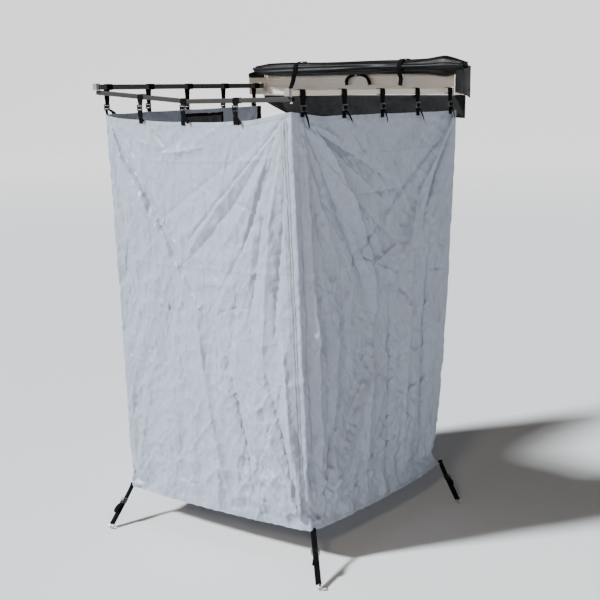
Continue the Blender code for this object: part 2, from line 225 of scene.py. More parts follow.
# ---------------------------------------------------------------- materials
def make_fabric(name, color, crumple=1.0, roughness=0.47):
    """Coated polyester: plain weave, soft crumples, packing creases and a slightly uneven coat."""
    n = Nodes(name, color, roughness, 0.06, Specular_IOR_Level=0.45)
    cloth = n.coords("UV")
    solid = n.coords("Object", (1.0, 1.0, 0.55), (0.12, 0.10, 0))
    warp = n.noise(solid, 7.0, 2.0)
    shifted = n.add("VectorMath", operation="MULTIPLY_ADD")
    n.link(warp, "Color", shifted, 0)
    shifted.inputs[1].default_value = (0.10, 0.10, 0.10)
    n.link(solid, "Vector", shifted, 2)
    cracks = n.voronoi(shifted, 13.0, "DISTANCE_TO_EDGE")
    facets = n.ramp(cracks, "Distance", ((0.0, 0.0), (0.05, 0.7), (0.35, 1.0)))
    small = n.voronoi(shifted, 34.0, "DISTANCE_TO_EDGE")
    facets_small = n.ramp(small, "Distance", ((0.0, 0.0), (0.07, 0.75), (0.5, 1.0)))
    across = n.wave(cloth, 420.0, "X")
    down = n.wave(cloth, 420.0, "Y")
    weave = n.math("MULTIPLY", (across, "Fac"), (down, "Fac"))
    first = n.bump(facets, "Color", 0.24 * crumple, 0.004)
    second = n.bump(facets_small, "Color", 0.22 * crumple, 0.002, first)
    third = n.bump(weave, "Value", 0.10, 0.0004, second)
    tone = n.noise(solid, 2.3, 4.0, 0.6)
    fine = n.noise(solid, 38.0, 3.0, 0.6)
    both = n.math("MULTIPLY_ADD", (tone, "Fac"), 0.75)
    n.tree.links.new(fine.outputs["Fac"], both.inputs[2])
    factor = n.ramp(both, "Value", ((0.55, 0.0), (1.05, 1.0)))
    tint = n.mix_color(factor, "Color", shade(color, 0.90), shade(color, 1.06))
    rough = n.spread(fine, "Fac", roughness - 0.06, roughness + 0.10)
    return n.done(third, tint, rough)


def make_webbing(name, color):
    """Woven webbing: a herringbone rib over the strap and fuzzy, slightly uneven black."""
    n = Nodes(name, color, 0.9, Specular_IOR_Level=0.05)
    cloth = n.coords("UV")
    chevron = n.coords("UV", turn=(0, 0, math.radians(38)))
    other = n.coords("UV", turn=(0, 0, math.radians(-38)))
    rib_a = n.wave(chevron, 260.0, "X", "SIN", 0.3)
    rib_b = n.wave(other, 260.0, "X", "SIN", 0.3)
    rib = n.math("MAXIMUM", (rib_a, "Fac"), (rib_b, "Fac"))
    normal = n.bump(rib, "Value", 0.6, 0.0006)
    fuzz = n.noise(cloth, 900.0, 2.0)
    tint = n.mix_color(fuzz, "Fac", shade(color, 0.65), shade(color, 1.9))
    return n.done(normal, tint)


def make_metal(name, color, roughness, direction):
    """Anodised extrusion: fine drawing lines along one axis, faint scratches and dull patches."""
    n = Nodes(name, color, roughness, 0.45)
    stretch = [90.0, 90.0, 90.0]
    stretch[direction] = 1.2
    lines = n.noise(n.coords("Object", tuple(stretch)), 9.0, 4.0, 0.65)
    scratch_where = n.coords("Object", tuple(s * 0.35 for s in stretch), (0.03, 0.05, 0.07))
    scratches = n.voronoi(scratch_where, 6.0, "DISTANCE_TO_EDGE")
    marks = n.ramp(scratches, "Distance", ((0.0, 1.0), (0.02, 0.0)))
    patches = n.noise(n.coords("Object"), 9.0, 3.0)
    rough = n.spread(patches, "Fac", roughness - 0.08, roughness + 0.14)
    first = n.bump(lines, "Fac", 0.12, 0.0004)
    second = n.bump(marks, "Color", 0.05, 0.0003, first)
    tint = n.mix_color(patches, "Fac", shade(color, 0.86), shade(color, 1.10))
    worn = n.mix_color(marks, "Color", tint, shade(color, 1.25))
    return n.done(second, worn, rough)


def make_plastic(name, color, roughness=0.45):
    """Moulded plastic: a fine spark texture and slightly uneven gloss."""
    n = Nodes(name, color, roughness)
    where = n.coords("Object")
    grain = n.noise(where, 1400.0, 2.0)
    blotch = n.noise(where, 60.0, 3.0)
    rough = n.spread(blotch, "Fac", roughness - 0.08, roughness + 0.12)
    tint = n.mix_color(blotch, "Fac", shade(color, 0.82), shade(color, 1.18))
    return n.done(n.bump(grain, "Fac", 0.25, 0.0003), tint, rough)


def make_steel(name, color=(0.62, 0.62, 0.63)):
    """Zinc-plated steel with a faint spangle and dull spots."""
    n = Nodes(name, color, 0.34, 1.0)
    where = n.coords("Object")
    spangle = n.voronoi(where, 260.0)
    rough = n.spread(spangle, "Distance", 0.24, 0.46)
    dull = n.noise(where, 120.0, 3.0)
    tint = n.mix_color(dull, "Fac", shade(color, 0.75), shade(color, 1.1))
    return n.done(n.bump(dull, "Fac", 0.15, 0.0002), tint, rough)


def make_pvc(name, color=(0.0024, 0.0024, 0.0026)):
    """PVC-coated cover cloth: a pebbled coat over a scrim, with dusty high spots."""
    n = Nodes(name, color, 0.5, Specular_IOR_Level=0.20)
    where = n.coords("Object")
    pebbles = n.voronoi(where, 650.0)
    crease = n.noise(where, 16.0, 4.0, 0.6, 0.6)
    dust = n.ramp(n.noise(where, 24.0, 5.0, 0.7), "Fac", ((0.42, 0.0), (0.75, 1.0)))
    first = n.bump(crease, "Fac", 0.35, 0.006)
    second = n.bump(pebbles, "Distance", 0.25, 0.0005, first)
    tint = n.mix_color(dust, "Color", color, shade(color, 2.0))
    rough = n.spread(dust, "Color", 0.42, 0.62)
    return n.done(second, tint, rough)


def make_mesh_cloth(name):
    """Black vent netting: an open knit read as a fine grid of openings, painted darker than its threads
    as the shade seen through them.
    """
    n = Nodes(name, (0.02, 0.02, 0.022), 0.8, Sheen_Weight=0.2)
    cells = n.voronoi(n.coords("UV"), 420.0, "F1", 0.0)
    shaded_openings = n.ramp(cells, "Distance", ((0.25, 0.0), (0.5, 1.0)))
    # painted shade: the openings are darkened for the shaded inside seen through the net; the threads
    # keep the net's own black
    tint = n.mix_color(shaded_openings, "Color", (0.004, 0.004, 0.004), (0.035, 0.035, 0.038))
    return n.done(n.bump(shaded_openings, "Color", 0.7, 0.0008), tint)


SILVER = (0.257, 0.29, 0.355)
MAT = {
    "fabric": make_fabric("silver_fabric", SILVER),
    "hem": make_fabric("silver_hem", shade(SILVER, 0.95), 0.4, 0.5),
    "patch": make_fabric("silver_patch", shade(SILVER, 0.86), 0.3, 0.42),
    "binding": make_webbing("binding_tape", (0.003, 0.003, 0.0032)),
    "mesh": make_mesh_cloth("vent_mesh"),
    "webbing": make_webbing("black_webbing", (0.0026, 0.0026, 0.0028)),
    "thread": make_plastic("sewing_thread", (0.30, 0.31, 0.33), 0.6),
    # painted shade: the left arm's tube is the arm aluminium painted dark, because its seen side faces
    # the shaded inside of the tent
    "arm_painted_shade": make_metal("bronze_aluminium", (0.045, 0.041, 0.036), 0.42, 1),
    "bronze_rail": make_metal("bronze_rail_aluminium", (0.022, 0.020, 0.018), 0.42, 0),
    "champagne_arm": make_metal("champagne_arm_aluminium", (0.52, 0.46, 0.39), 0.42, 1),
    "champagne": make_metal("champagne_aluminium", (0.66, 0.60, 0.53), 0.45, 0),
    "grey_plastic": make_plastic("grey_plastic", (0.15, 0.155, 0.16), 0.5),
    "black_plastic": make_plastic("black_plastic", (0.006, 0.006, 0.007), 0.4),
    "steel": make_steel("zinc_steel"),
    "pvc": make_pvc("cover_pvc"),
}


# ---------------------------------------------------------------- mesh helpers
def add_piece(name, mesh, body, material):
    """A new piece that rides on a body. material is one material, or several in slot order."""
    obj = bpy.data.objects.new(name, mesh)
    bpy.context.scene.collection.objects.link(obj)
    for each in material if isinstance(material, tuple) else (material,):
        mesh.materials.append(each)
    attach(obj, body)
    return obj


def smooth(mesh, angle):
    """Smooth shading, with edges past the angle (degrees) left crisp."""
    mesh.shade_smooth()
    mesh.set_sharp_from_angle(angle=math.radians(angle))


def finish_mesh(bm, name, closed=True):
    """The mesh of a bmesh, with faces turned outward where it is closed."""
    if closed:
        bmesh.ops.recalc_face_normals(bm, faces=bm.faces)
    mesh = bpy.data.meshes.new(name)
    bm.to_mesh(mesh)
    bm.free()
    return mesh


def join_rings(bm, first, second):
    """A closed band of faces between two rings of as many points."""
    count = len(first)
    for k in range(count):
        m = (k + 1) % count
        bm.faces.new((first[k], first[m], second[m], second[k]))


def add_bead(bm, radius, stretch, place):
    """A small ball, stretched and put in its place."""
    made = bmesh.ops.create_uvsphere(bm, u_segments=16, v_segments=8, radius=radius)
    bmesh.ops.scale(bm, verts=made["verts"], vec=stretch)
    bmesh.ops.translate(bm, verts=made["verts"], vec=place)


def catmull(points, steps):
    """A smooth curve through the points, with a number of steps between each pair."""
    pts = [Vector(p) for p in points]
    out = []
    for i in range(len(pts) - 1):
        a = pts[max(i - 1, 0)]
        b, c = pts[i], pts[i + 1]
        d = pts[min(i + 2, len(pts) - 1)]
        for k in range(steps):
            t = k / steps
            linear = (c - a) * t
            square = (2 * a - 5 * b + 4 * c - d) * t * t
            cube = (3 * b - a - 3 * c + d) * t**3
            out.append(0.5 * (2 * b + linear + square + cube))
    out.append(pts[-1])
    return out


def ribbon_ring(bm, place, side, up, width, thick, along):
    """One cross-section of a strap, thinner at its edges: (vertex, place across, place along)."""
    ring = []
    for face in (1, -1):
        for k in range(RIBBON_STEPS + 1):
            share = (k / RIBBON_STEPS * 2 - 1) * face
            edge = thick / 2 * (1 - 0.55 * share**6)
            point = place + side * share * width / 2 + up * (face * edge)
            ring.append((bm.verts.new(point), share * width / 2, along))
    return ring


def face_with_uv(bm, uv, corners):
    """A face through (vertex, u, v) corners."""
    face = bm.faces.new([corner[0] for corner in corners])
    for loop, corner in zip(face.loops, corners):
        loop[uv].uv = (corner[1], corner[2])


def ribbon_rings(bm, uv, route, sides, widths, thick):
    """A flat strap along a route, with a width direction and a width for each of its points."""
    lengths = [0.0]
    for a, b in zip(route, route[1:]):
        lengths.append(lengths[-1] + (b - a).length)
    rings = []
    for i, place in enumerate(route):
        along = (route[min(i + 1, len(route) - 1)] - route[max(i - 1, 0)]).normalized()
        side = sides[i] - along * sides[i].dot(along)
        side.normalize()
        rings.append(ribbon_ring(bm, place, side, side.cross(along), widths[i], thick, lengths[i]))
    count = len(rings[0])
    for first, second in zip(rings, rings[1:]):
        for k in range(count):
            m = (k + 1) % count
            face_with_uv(bm, uv, (first[k], first[m], second[m], second[k]))
    for ring in (rings[0], rings[-1]):
        face_with_uv(bm, uv, ring)


def ribbon_mesh(name, strips):
    """One mesh of several straps, each (route, width direction, width, thickness).

    The direction and the width are one value, or a list with one for each point of the route.
    """
    bm = bmesh.new()
    uv = bm.loops.layers.uv.new("cloth")
    for route, side, width, thick in strips:
        sides = side if isinstance(side, list) else [Vector(side)] * len(route)
        widths = width if isinstance(width, list) else [width] * len(route)
        ribbon_rings(bm, uv, route, sides, widths, thick)
    mesh = finish_mesh(bm, name)
    smooth(mesh, 50)
    return mesh


# ---------------------------------------------------------------- corners, read from the frame
def wall_corner(node, outward):
    """(top, foot) of a wall's edge that lies farthest along an outward direction in plan."""
    points = [v.co.copy() for v in frame["nodes"][node].data.vertices]
    return [max(points, key=lambda p: p.dot(Vector((*outward, z)))) for z in (5, -5)]


# corners: A outer left, B outer right, C and D at the casing's right and left ends
TOP_A, LOW_A = wall_corner("outer_wall_left", (-1, 0))
TOP_B, LOW_B = wall_corner("outer_wall_right", (1, 0))
TOP_C, LOW_C = wall_corner("right_wall", (0, 1))
TOP_D, LOW_D = wall_corner("left_wall", (0, 1))
CORNER_TOPS = (TOP_D, TOP_A, TOP_B, TOP_C)
CORNER_LOWS = (LOW_D, LOW_A, LOW_B, LOW_C)
WALL_WIDTH = (TOP_B - TOP_A).length
WALL_HEIGHT = (TOP_A - LOW_A).length
ZIP_HEIGHT = (TOP_B - LOW_B).length


def box_of(node):
    """The low and high corners of a CAD piece."""
    low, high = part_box(node)
    return Vector(low), Vector(high)


def buckle_centre(name):
    """The middle of a strap's buckle."""
    low, high = box_of(f"buckle_{name}")
    return (low + high) / 2


STRAP_NAMES = (
    [f"left_{i}" for i in range(1, 6)]
    + [f"rail_{i}" for i in range(1, 4)]
    + [f"right_{i}" for i in range(1, 6)]
)
OUTWARD = {"left": Vector((-1, 0, 0)), "rail": Vector((0, -1, 0)), "right": Vector((1, 0, 0))}
NODE_BODY = {}
for body_name, node_names in frame["record"]["behaviour"]["bodies"].items():
    for node_name in node_names:
        NODE_BODY[node_name] = body_name


# ---------------------------------------------------------------- the fabric skirt
def top_line(panel, share):
    """The skirt's top edge, with its tabs and corners at the height each is hung."""
    place = CORNER_TOPS[panel].lerp(CORNER_TOPS[panel + 1], share)
    if panel == 0:
        place.x += CORNER_TUCK * max(0.0, (share - 0.80) / 0.20)
        place.z += LEFT_RISE * (1 - share)
    if panel == 1:
        rise = CORNER_RISE * max(0.0, share - 0.80) / 0.20
        place.z += -RAIL_SAG * math.sin(math.pi * min(1.0, share / 0.95)) ** 0.7 + rise
        place.x += CORNER_TUCK * max(0.0, 1 - share / 0.12)
    if panel == 2:
        place.z += CORNER_RISE * max(0.0, 1 - share / 0.16)
    return place


def low_line(panel, share):
    """The skirt's lower edge, straight between its corners."""
    return CORNER_LOWS[panel].lerp(CORNER_LOWS[panel + 1], share)


def tab_share(name):
    """(panel, share along the panel's top edge) of a strap's tab."""
    centre = buckle_centre(name)
    if name.startswith("left"):
        return 0, (centre.y - TOP_D.y) / (TOP_A.y - TOP_D.y)
    if name.startswith("rail"):
        return 1, (centre.x - TOP_A.x) / (TOP_B.x - TOP_A.x)
    return 2, (centre.y - TOP_B.y) / (TOP_C.y - TOP_B.y)


def skirt_grid(rows, columns):
    """Rest places of the skirt's points: rows down, columns along D, A, B and C."""
    total = 3 * columns + 1
    grid = np.zeros((rows + 1, total, 3))
    for c in range(total):
        panel = min(c // columns, 2)
        share = (c - panel * columns) / columns
        top, low = top_line(panel, share), low_line(panel, share)
        for r in range(rows + 1):
            grid[r, c] = top.lerp(low, r / rows)
    return grid


def draw_in_edges(grid, columns):
    """The two free edges bow in towards the outer wall between their ends, most just above the foot."""
    down = np.linspace(0, 1, grid.shape[0])
    foot = 1 - EDGE_FLARE
    pull = EDGE_BOW * np.clip(down / foot, 0, 1) ** 1.6 * np.clip((1 - down) / EDGE_FLARE, 0, 1) ** 0.8
    share = np.arange(columns + 1) / columns
    grid[:, : columns + 1, 1] -= pull[:, None] * (1 - share[None, :]) ** 1.5
    grid[:, 2 * columns :, 1] -= 1.5 * pull[:, None] * share[None, :] ** 1.5


def grid_mesh(name, grid):
    """A mesh of quads over a grid of points, counted row by row."""
    rows, columns = grid.shape[0], grid.shape[1]
    faces = []
    for r in range(rows - 1):
        for c in range(columns - 1):
            i = r * columns + c
            faces.append((i, i + columns, i + columns + 1, i + 1))
    mesh = bpy.data.meshes.new(name)
    mesh.from_pydata(grid.reshape(-1, 3).tolist(), [], faces)
    mesh.update()
    return mesh


def pin_cloth(obj, rows, wide, columns):
    """Pins at the tabs and top corners, and a small patch of them at each foot."""
    seams = (0, columns, 2 * columns, 3 * columns)
    top = set(seams)
    for name in STRAP_NAMES:
        panel, share = tab_share(name)
        centre = round((panel + share) * columns)
        top.update(c for c in (centre - 1, centre, centre + 1) if 0 <= c < wide)
    pins = obj.vertex_groups.new(name="pins")
    pins.add(sorted(top), 1.0, "REPLACE")
    last = rows - 1
    for c in seams:
        for r, reach in ((last, 2), (last - 1, 1)):
            for k in range(max(0, c - reach), min(wide - 1, c + reach) + 1):
                pins.add([r * wide + k], 1.0, "REPLACE")


def loosen_cloth(obj, rows, wide, columns):
    """How much of the slack each point gets: none at the top, less beside the seams and the foot."""
    slack = obj.vertex_groups.new(name="slack")
    for r in range(rows):
        down = r / (rows - 1)
        for c in range(wide):
            along = (c % columns) / columns
            edge = min(1.0, 5.0 * min(along, 1 - along) + 0.25)
            amount = edge * min(1.0, 0.15 + 2.2 * down) * min(1.0, 0.35 + 4.0 * (1 - down))
            slack.add([r * wide + c], float(amount), "REPLACE")


def add_cloth(obj):
    """The cloth modifier of a light coated fabric that keeps its size."""
    cloth = obj.modifiers.new("cloth", "CLOTH")
    s = cloth.settings
    s.quality = 6
    s.mass = 0.12
    s.air_damping = 3.0
    s.tension_stiffness = 25
    s.compression_stiffness = 18
    s.shear_stiffness = 8
    s.bending_stiffness = 0.25
    s.tension_damping = 8
    s.compression_damping = 8
    s.shear_damping = 8
    s.vertex_group_mass = "pins"
    s.pin_stiffness = 4.0
    s.vertex_group_shrink = "slack"
    s.shrink_min = 0.0
    s.shrink_max = FABRIC_SLACK
    cloth.collision_settings.use_collision = False
    cloth.point_cache.frame_start = 1
    cloth.point_cache.frame_end = SIM_FRAMES


def hang(grid, columns):
    """Cloth simulation: tabs and corners pinned, a little slack cut into the cloth."""
    rng = np.random.default_rng(7)
    start = grid + rng.normal(0, 0.0012, grid.shape)
    start[0] = grid[0]
    obj = bpy.data.objects.new("skirt_sim", grid_mesh("skirt_sim", start))
    scene = bpy.context.scene
    scene.collection.objects.link(obj)
    rows, wide = grid.shape[:2]
    pin_cloth(obj, rows, wide, columns)
    loosen_cloth(obj, rows, wide, columns)
    add_cloth(obj)
    scene.frame_start = 1
    scene.frame_end = SIM_FRAMES
    for f in range(1, SIM_FRAMES + 1):
        scene.frame_set(f)
    done = obj.evaluated_get(bpy.context.evaluated_depsgraph_get()).data
    out = np.zeros(len(done.vertices) * 3)
    done.vertices.foreach_get("co", out)
    bpy.data.objects.remove(obj, do_unlink=True)
    scene.frame_set(1)
    return out.reshape(grid.shape)


def refine(grid, axis):
    """Twice as many points along one axis, on a smooth curve through those given."""
    g = np.moveaxis(grid, axis, 0)
    before = np.concatenate([2 * g[:1] - g[1:2], g[:-2]])
    after = np.concatenate([g[2:], 2 * g[-1:] - g[-2:-1]])
    middle = (9 * (g[:-1] + g[1:]) - (before + after)) / 16
    out = np.zeros((2 * g.shape[0] - 1, *g.shape[1:]))
    out[0::2] = g
    out[1::2] = middle
    return np.moveaxis(out, 0, axis)


def grid_normals(grid):
    """The outward direction at each point of a grid."""
    down = np.gradient(grid, axis=0)
    along = np.gradient(grid, axis=1)
    normal = np.cross(down, along)
    return normal / np.maximum(np.linalg.norm(normal, axis=2, keepdims=True), 1e-9)


def ridge(x, y, start, end, width, bend):
    """A crease from start to end: sharp along its line and fading at both ends."""
    sx, sy = start
    dx, dy = end[0] - sx, end[1] - sy
    length = math.hypot(dx, dy)
    ux, uy = dx / length, dy / length
    along = (x - sx) * ux + (y - sy) * uy
    share = np.clip(along / length, 0, 1)
    off = -(x - sx) * uy + (y - sy) * ux - bend * np.sin(math.pi * share) * length
    fade = np.sin(math.pi * share) ** 0.6 * (along > 0) * (along < length)
    reach = width * (0.35 + 0.65 * np.sin(math.pi * share))
    return fade * np.exp(-np.abs(off) / np.maximum(reach, 1e-4))


# fans of tension creases: panel, corner (share along, share down), first and last angle, count,
# shortest and longest crease (m), height (m)
FANS = (
    (1, (0.02, 0.01), 50, 84, 5, 0.35, 0.95, 0.008),
    (1, (0.98, 0.01), 98, 150, 9, 0.30, 1.05, 0.010),
    (1, (0.98, 0.99), 200, 264, 12, 0.25, 0.85, 0.011),
    (1, (0.02, 0.99), 276, 330, 5, 0.20, 0.60, 0.006),
    (2, (0.02, 0.01), 24, 84, 11, 0.30, 1.10, 0.012),
    (2, (0.98, 0.01), 96, 140, 9, 0.30, 1.05, 0.011),
    (2, (0.02, 0.99), 276, 340, 15, 0.25, 0.95, 0.015),
    (2, (0.98, 0.99), 198, 264, 9, 0.20, 0.75, 0.010),
    (0, (0.98, 0.01), 98, 150, 8, 0.25, 1.0, 0.010),
    (0, (0.02, 0.01), 30, 80, 8, 0.25, 1.0, 0.010),
    (0, (0.02, 0.99), 280, 330, 7, 0.20, 0.7, 0.008),
    (0, (0.98, 0.99), 205, 260, 7, 0.20, 0.7, 0.008),
)
# long folds: panel, start and end (share along, share down), height, half width (m), bend
FOLDS = (
    (1, (0.04, 0.01), (0.48, 0.46), -0.013, 0.010, -0.015),
    (1, (0.05, 0.03), (0.52, 0.50), 0.014, 0.034, 0.010),
    (1, (0.98, 0.005), (0.44, 0.30), -0.013, 0.010, 0.012),
    (1, (0.97, 0.02), (0.42, 0.34), 0.015, 0.034, 0.020),
    (1, (0.94, 0.02), (0.60, 0.44), -0.016, 0.013, -0.030),
    (1, (0.92, 0.05), (0.55, 0.50), 0.016, 0.030, -0.020),
    (1, (0.86, 0.22), (0.74, 0.50), -0.015, 0.013, 0.015),
    (1, (0.935, 0.24), (0.88, 0.52), -0.015, 0.013, 0.010),
    (1, (0.90, 0.20), (0.82, 0.62), 0.014, 0.022, 0.010),
    (1, (0.30, 0.02), (0.38, 0.07), -0.007, 0.007, 0.0),
    (1, (0.33, 0.08), (0.60, 0.055), 0.006, 0.008, 0.02),
    (1, (0.12, 0.02), (0.20, 0.11), -0.007, 0.007, 0.0),
    (1, (0.46, 0.44), (0.60, 0.97), 0.014, 0.022, 0.030),
    (1, (0.57, 0.50), (0.74, 0.97), -0.014, 0.016, -0.020),
    (1, (0.98, 0.985), (0.62, 0.50), 0.016, 0.022, 0.020),
    (1, (0.97, 0.98), (0.80, 0.55), -0.014, 0.014, 0.015),
    (1, (0.93, 0.97), (0.92, 0.50), 0.013, 0.014, 0.010),
    (2, (0.055, 0.004), (0.085, 0.985), 0.030, 0.020, 0.004),
    (2, (0.03, 0.01), (0.05, 0.97), -0.012, 0.008, 0.003),
    (2, (0.10, 0.02), (0.44, 0.32), 0.030, 0.030, -0.020),
    (2, (0.08, 0.04), (0.40, 0.40), -0.022, 0.016, -0.015),
    (2, (0.97, 0.01), (0.74, 0.22), 0.022, 0.026, 0.020),
    (2, (0.76, 0.19), (0.56, 0.47), 0.024, 0.026, -0.020),
    (2, (0.98, 0.03), (0.80, 0.30), -0.018, 0.014, 0.010),
    (2, (0.44, 0.30), (0.50, 0.52), 0.020, 0.020, 0.020),
    (2, (0.48, 0.37), (0.62, 0.33), 0.010, 0.008, 0.0),
    (2, (0.48, 0.37), (0.60, 0.40), 0.010, 0.008, 0.0),
    (2, (0.48, 0.37), (0.40, 0.34), -0.010, 0.008, 0.0),
    (2, (0.34, 0.19), (0.68, 0.185), -0.006, 0.010, 0.0),
    (2, (0.50, 0.45), (0.40, 0.95), 0.022, 0.024, 0.030),
    (2, (0.60, 0.45), (0.58, 0.95), -0.020, 0.018, -0.030),
    (2, (0.74, 0.35), (0.72, 0.97), 0.020, 0.022, 0.020),
    (2, (0.86, 0.28), (0.88, 0.95), -0.020, 0.018, 0.010),
    (2, (0.22, 0.35), (0.16, 0.97), 0.020, 0.020, 0.010),
    (2, (0.04, 0.985), (0.46, 0.62), 0.024, 0.024, 0.030),
    (2, (0.05, 0.975), (0.28, 0.62), -0.020, 0.016, -0.020),
    (0, (0.96, 0.02), (0.45, 0.50), 0.020, 0.028, 0.03),
    (0, (0.04, 0.02), (0.50, 0.45), 0.020, 0.028, -0.03),
    (0, (0.30, 0.40), (0.24, 0.96), -0.014, 0.022, 0.04),
    (0, (0.62, 0.45), (0.68, 0.97), 0.016, 0.024, -0.03),
)
FOLD_GAIN = 1.45
STRAY_CREASES = 200
PACK_LINES = (0.095, 0.36, 0.63, 0.88)
PACK_COLUMNS = (0.27, 0.52, 0.76)
PACK_HALF = 0.006


def crumple(x, y, rng, lean, spread, count, long, short, tall):
    """Faceted crumples: folded waves in many directions, bent by a slow wander of the cloth."""
    wander_x = 0.035 * np.sin(5.1 * y + rng.uniform(0, 6)) + 0.016 * np.sin(13 * x + 9 * y)
    wander_y = 0.035 * np.sin(4.3 * x + rng.uniform(0, 6)) + 0.016 * np.sin(11 * x - 15 * y)
    px, py = x + wander_x, y + wander_y
    total = np.zeros_like(x)
    for i in range(count):
        angle = math.radians(rng.gauss(lean, spread))
        wave = short + (long - short) * rng.random() ** 1.6
        phase = (px * math.cos(angle) + py * math.sin(angle)) / wave * math.pi + rng.uniform(0, 6.28)
        cross = (py * math.cos(angle) - px * math.sin(angle)) / (wave * 3.5)
        patch = np.clip(0.5 + 1.1 * np.sin(cross + 6.3 * rng.random()) * np.sin(phase * 0.23 + i), 0, 1)
        total += tall * wave * (0.64 - np.abs(np.sin(phase))) * patch
    return total


def dent(x, y, width, height):
    """The slack middle of a wall, drawn in between its four tied corners like a shallow hipped roof."""
    side = np.minimum(x, width - x) / (width / 2)
    ends = np.minimum(y, height - y) / (height / 2)
    soft = -np.log(np.exp(-6 * side) + np.exp(-6 * ends * 1.25)) / 6
    return np.clip(soft, 0, 1)


def heading(start, angle, length):
    """The point some way from start, at an angle from the wall's length toward its foot."""
    return start[0] + length * math.cos(angle), start[1] + length * math.sin(angle)


def add_fans(total, panel, x, y, size, rng):
    """Tension creases that fan out of the corners, raised and sunk by turns."""
    width, height = size
    for place, corner, first, last, count, short, long, tall in FANS:
        if place != panel:
            continue
        start = (corner[0] * width, corner[1] * height)
        for i in range(count):
            turn = (i + rng.uniform(-0.3, 0.3)) / max(count - 1, 1)
            angle = math.radians(first + (last - first) * turn)
            length = rng.uniform(short, long)
            a = heading(start, angle, rng.uniform(0.0, 0.12))
            b = heading(a, angle, length)
            sign = 1 if i % 2 else -1
            high = sign * tall * rng.uniform(0.5, 1.0)
            half = rng.uniform(0.012, 0.028)
            bend = rng.uniform(-0.05, 0.05)
            total += high * ridge(x, y, a, b, half, bend)


def add_strays(total, x, y, size, rng):
    """Short creases all over a wall, most of them steep."""
    width, height = size
    for _ in range(STRAY_CREASES):
        a = (rng.uniform(0, width), rng.uniform(0.03, height))
        steep = rng.random() < 0.62
        angle = math.radians(rng.gauss(90, 24) if steep else rng.uniform(0, 180))
        length = rng.uniform(0.12, 0.60) if steep else rng.uniform(0.05, 0.26)
        b = heading(a, angle, length)
        sign = rng.choice((1, -1))
        high = sign * rng.uniform(0.002, 0.006)
        half = rng.uniform(0.006, 0.016)
        bend = rng.uniform(-0.12, 0.12)
        total += high * ridge(x, y, a, b, half, bend)


def add_folds(total, panel, x, y, size):
    """The long folds of the FOLDS table."""
    width, height = size
    for place, start, end, tall, half, bend in FOLDS:
        if place == panel:
            a = (start[0] * width, start[1] * height)
            b = (end[0] * width, end[1] * height)
            total += FOLD_GAIN * tall * ridge(x, y, a, b, FOLD_GAIN * half, bend)


def add_crumples(total, panel, x, y, size, rng):
    """Three sizes of crumple, rougher toward the foot, and the wall's slack middle."""
    width, height = size
    low = np.clip(y / height, 0, 1)
    base, gain = ((0.45, 0.0), (0.22, 0.30), (0.40, 0.35))[panel]
    rough = base + gain * low
    tall = (0.05, 0.034, 0.055)[panel]
    total += crumple(x, y, rng, 10, 20, 8, 0.34, 0.13, tall) * (0.2 + 0.8 * low)
    total += crumple(x, y, rng, 24, 34, 10, 0.17, 0.06, 0.060) * rough
    total += crumple(x, y, rng, 40, 70, 8, 0.070, 0.032, 0.028) * rough
    total -= (0.030, 0.034, 0.042)[panel] * dent(x, y, width, height)


def add_packing_lines(total, x, y, size):
    """Faint square creases, left by the way the cloth is packed."""
    width, height = size
    for line in PACK_LINES:
        level = line * height + 0.006 * np.sin(5 * x)
        total += 0.0022 * np.exp(-np.abs(y - level) / PACK_HALF)
    for share in PACK_COLUMNS:
        place = share * width + 0.004 * np.sin(4 * y)
        total -= 0.0018 * np.exp(-np.abs(x - place) / PACK_HALF)


def creases(panel, x, y, size):
    """Height of all the creases on one wall, over x along it and y down it, in metres."""
    rng = random.Random(100 + panel)
    total = np.zeros_like(x)
    add_fans(total, panel, x, y, size, rng)
    add_strays(total, x, y, size, rng)
    add_folds(total, panel, x, y, size)
    add_crumples(total, panel, x, y, size, rng)
    add_packing_lines(total, x, y, size)
    return total


def edge_fade(x, y, width, height):
    """Creases die out at hems and corners, where the cloth is doubled and sewn."""
    side = np.clip(np.minimum(x, width - x) / 0.05, 0, 1)
    ends = np.clip(np.minimum(y, height - y) / 0.035, 0, 1)
    return (0.25 + 0.75 * side) * (0.15 + 0.85 * ends)


def build_skirt():
    """The skirt's points with all their folds, and the number of columns in one wall."""
    rows, columns = PANEL_ROWS, PANEL_COLUMNS
    grid = skirt_grid(rows, columns)
    grid = hang(grid, columns)
    for _ in range(2):
        grid = refine(refine(grid, 0), 1)
        columns *= 2
    draw_in_edges(grid, columns)
    normal = grid_normals(grid)
    down = np.linspace(0, WALL_HEIGHT, grid.shape[0])[:, None]
    bulge = np.zeros(grid.shape[:2])
    for panel in range(3):
        part = slice(panel * columns, (panel + 1) * columns + 1)
        x = np.linspace(0, WALL_WIDTH, columns + 1)[None, :] + 0 * down
        y = down + 0 * x
        fade = edge_fade(x, y, WALL_WIDTH, WALL_HEIGHT)
        bulge[:, part] = creases(panel, x, y, (WALL_WIDTH, WALL_HEIGHT)) * fade
    return grid + normal * bulge[:, :, None], columns


def set_uv(mesh, u_of, v_of):
    """A UV layer whose values come from each corner's point number."""
    layer = mesh.uv_layers.new(name="cloth")
    index = np.zeros(len(mesh.loops), int)
    mesh.loops.foreach_get("vertex_index", index)
    layer.data.foreach_set("uv", np.stack([u_of(index), v_of(index)], 1).ravel())


def copy_normals(mesh, normals):
    """The skirt's own smooth normals, so that a cut between two walls doesn't show."""
    mesh.shade_smooth()
    mesh.normals_split_custom_set_from_vertices(normals.reshape(-1, 3).tolist())


